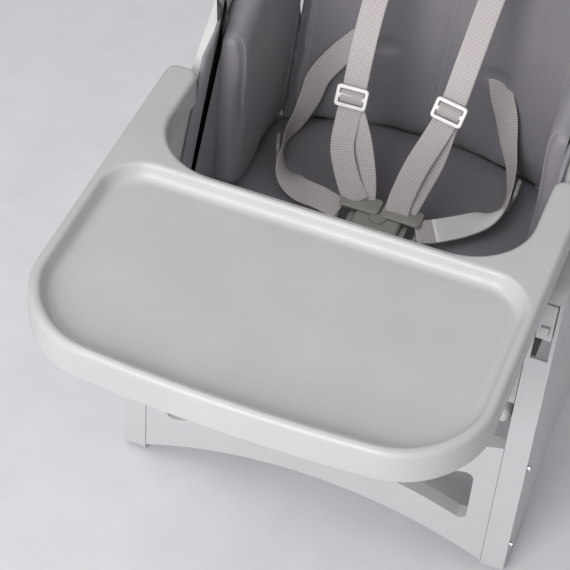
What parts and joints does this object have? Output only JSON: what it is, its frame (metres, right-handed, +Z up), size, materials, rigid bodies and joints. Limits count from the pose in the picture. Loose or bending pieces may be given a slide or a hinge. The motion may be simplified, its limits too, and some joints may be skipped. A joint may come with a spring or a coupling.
{
  "type": "baby high chair",
  "caption": "Low baby high chair with moulded side frames, reclining padded seat, five-point harness and slide-on tray.",
  "frame": {"origin": "on the floor under the middle of the chair's bounding box", "axes": "+X to the seated child's left, +Y towards the backrest, +Z up; the tray is at -Y"},
  "size_m": [0.472, 0.7692, 0.7145],
  "materials": {
    "frame_plastic": "satin",
    "shell_plastic": "satin",
    "tray_plastic": "satin",
    "latch_plastic": "satin",
    "buckle_plastic": "satin",
    "slider_plastic": "satin",
    "leatherette": "satin grained",
    "webbing": "woven",
    "rubber": "matte",
    "steel": "zinc plated",
    "frame_metal": "light grey powder coat"
  },
  "bodies": {
    "frame": {"side_frame_right": "frame_plastic", "side_frame_left": "frame_plastic", "foot_pads": "rubber", "front_panel": "frame_plastic", "rear_crossbar_lower": "frame_metal", "rear_crossbar_upper": "frame_metal", "crossbar_plugs": "frame_plastic", "frame_screws": "steel"},
    "seat": {"seat_shell": "shell_plastic", "seat_base_rail_right": "frame_plastic", "seat_base_rail_left": "frame_plastic", "tray_rail_right": "shell_plastic", "tray_rail_left": "shell_plastic", "guide_shoe_right": "latch_plastic", "guide_shoe_left": "latch_plastic", "seat_cushion": "leatherette", "side_cushion_right": "leatherette", "side_cushion_left": "leatherette", "recline_plate_right": "latch_plastic", "recline_plate_left": "latch_plastic", "crotch_strap": "webbing", "buckle_body": "buckle_plastic", "lap_strap_right": "webbing", "lap_strap_left": "webbing", "shoulder_strap_right": "webbing", "shoulder_strap_left": "webbing"},
    "height_catch_right": {"height_catch_right": "latch_plastic"},
    "height_catch_left": {"height_catch_left": "latch_plastic"},
    "backrest": {"back_shell": "shell_plastic", "recline_pins": "steel", "back_cushion": "leatherette", "lever_guide": "shell_plastic"},
    "recline_lever": {"recline_lever": "latch_plastic", "lock_rods": "steel", "lock_bar": "steel"},
    "tray": {"tray": "tray_plastic"},
    "tray_release": {"tray_release_handle": "latch_plastic", "tray_release_links": "latch_plastic"},
    "tray_latch_right": {"tray_latch_right": "latch_plastic"},
    "tray_latch_left": {"tray_latch_left": "latch_plastic"},
    "buckle_button": {"buckle_button": "buckle_plastic"},
    "buckle_tongue_right": {"buckle_tongue_right": "buckle_plastic"},
    "buckle_tongue_left": {"buckle_tongue_left": "buckle_plastic"},
    "shoulder_slider_right": {"shoulder_slider_right": "slider_plastic"},
    "shoulder_slider_left": {"shoulder_slider_left": "slider_plastic"},
    "lap_adjuster_right": {"lap_adjuster_right": "buckle_plastic"},
    "lap_adjuster_left": {"lap_adjuster_left": "buckle_plastic"}
  },
  "joints": [
    {"name": "seat_height", "type": "slide", "parent": "frame", "child": "seat", "axis": [0, 0, -1], "range_m": [0, 0.024]},
    {"name": "recline", "type": "hinge", "parent": "seat", "child": "backrest", "pos_m": [0, 0.2666, 0.292], "axis": [-1, 0, 0], "range_deg": [0, 25]},
    {"name": "recline_lever_pull", "type": "slide", "parent": "backrest", "child": "recline_lever", "axis": [0, 0.2419, 0.9703], "range_m": [0, 0.012], "stiffness_N_per_m": 500, "springref_m": -0.01},
    {"name": "tray_slide", "type": "slide", "parent": "seat", "child": "tray", "axis": [0, -1, 0], "range_m": [0, 0.09]},
    {"name": "tray_release_pull", "type": "slide", "parent": "tray", "child": "tray_release", "axis": [0, -1, 0], "range_m": [0, 0.008], "stiffness_N_per_m": 600, "springref_m": -0.006},
    {"name": "tray_latch_lift_right", "type": "slide", "parent": "tray", "child": "tray_latch_right", "axis": [0, 0, 1], "range_m": [0, 0.005]},
    {"name": "tray_latch_lift_left", "type": "slide", "parent": "tray", "child": "tray_latch_left", "axis": [0, 0, 1], "range_m": [0, 0.005]},
    {"name": "height_catch_press_right", "type": "slide", "parent": "seat", "child": "height_catch_right", "axis": [0, 1, 0], "range_m": [0, 0.003], "stiffness_N_per_m": 800, "springref_m": -0.004},
    {"name": "height_catch_press_left", "type": "slide", "parent": "seat", "child": "height_catch_left", "axis": [0, 1, 0], "range_m": [0, 0.003], "stiffness_N_per_m": 800, "springref_m": -0.004},
    {"name": "buckle_press", "type": "slide", "parent": "seat", "child": "buckle_button", "axis": [0, 0, -1], "range_m": [0, 0.003], "stiffness_N_per_m": 800, "springref_m": -0.004},
    {"name": "tongue_pull_right", "type": "slide", "parent": "seat", "child": "buckle_tongue_right", "axis": [1, 0, 0], "range_m": [0, 0.018]},
    {"name": "tongue_pull_left", "type": "slide", "parent": "seat", "child": "buckle_tongue_left", "axis": [-1, 0, 0], "range_m": [0, 0.018]},
    {"name": "shoulder_adjust_right", "type": "slide", "parent": "seat", "child": "shoulder_slider_right", "axis": [0.1519, 0.5374, 0.8295], "range_m": [-0.004, 0.018]},
    {"name": "shoulder_adjust_left", "type": "slide", "parent": "seat", "child": "shoulder_slider_left", "axis": [-0.029, 0.5082, 0.8608], "range_m": [-0.004, 0.018]},
    {"name": "lap_adjust_right", "type": "slide", "parent": "seat", "child": "lap_adjuster_right", "axis": [-0.0584, 0.993, 0.1022], "range_m": [-0.004, 0.008]},
    {"name": "lap_adjust_left", "type": "slide", "parent": "seat", "child": "lap_adjuster_left", "axis": [-0.3259, 0.9452, 0.0163], "range_m": [0, 0.008]}
  ],
  "couplings": [
    {"joint": "tray_latch_lift_right", "follows": "tray_release_pull", "ratio": 0.625},
    {"joint": "tray_latch_lift_left", "follows": "tray_release_pull", "ratio": 0.625}
  ]
}
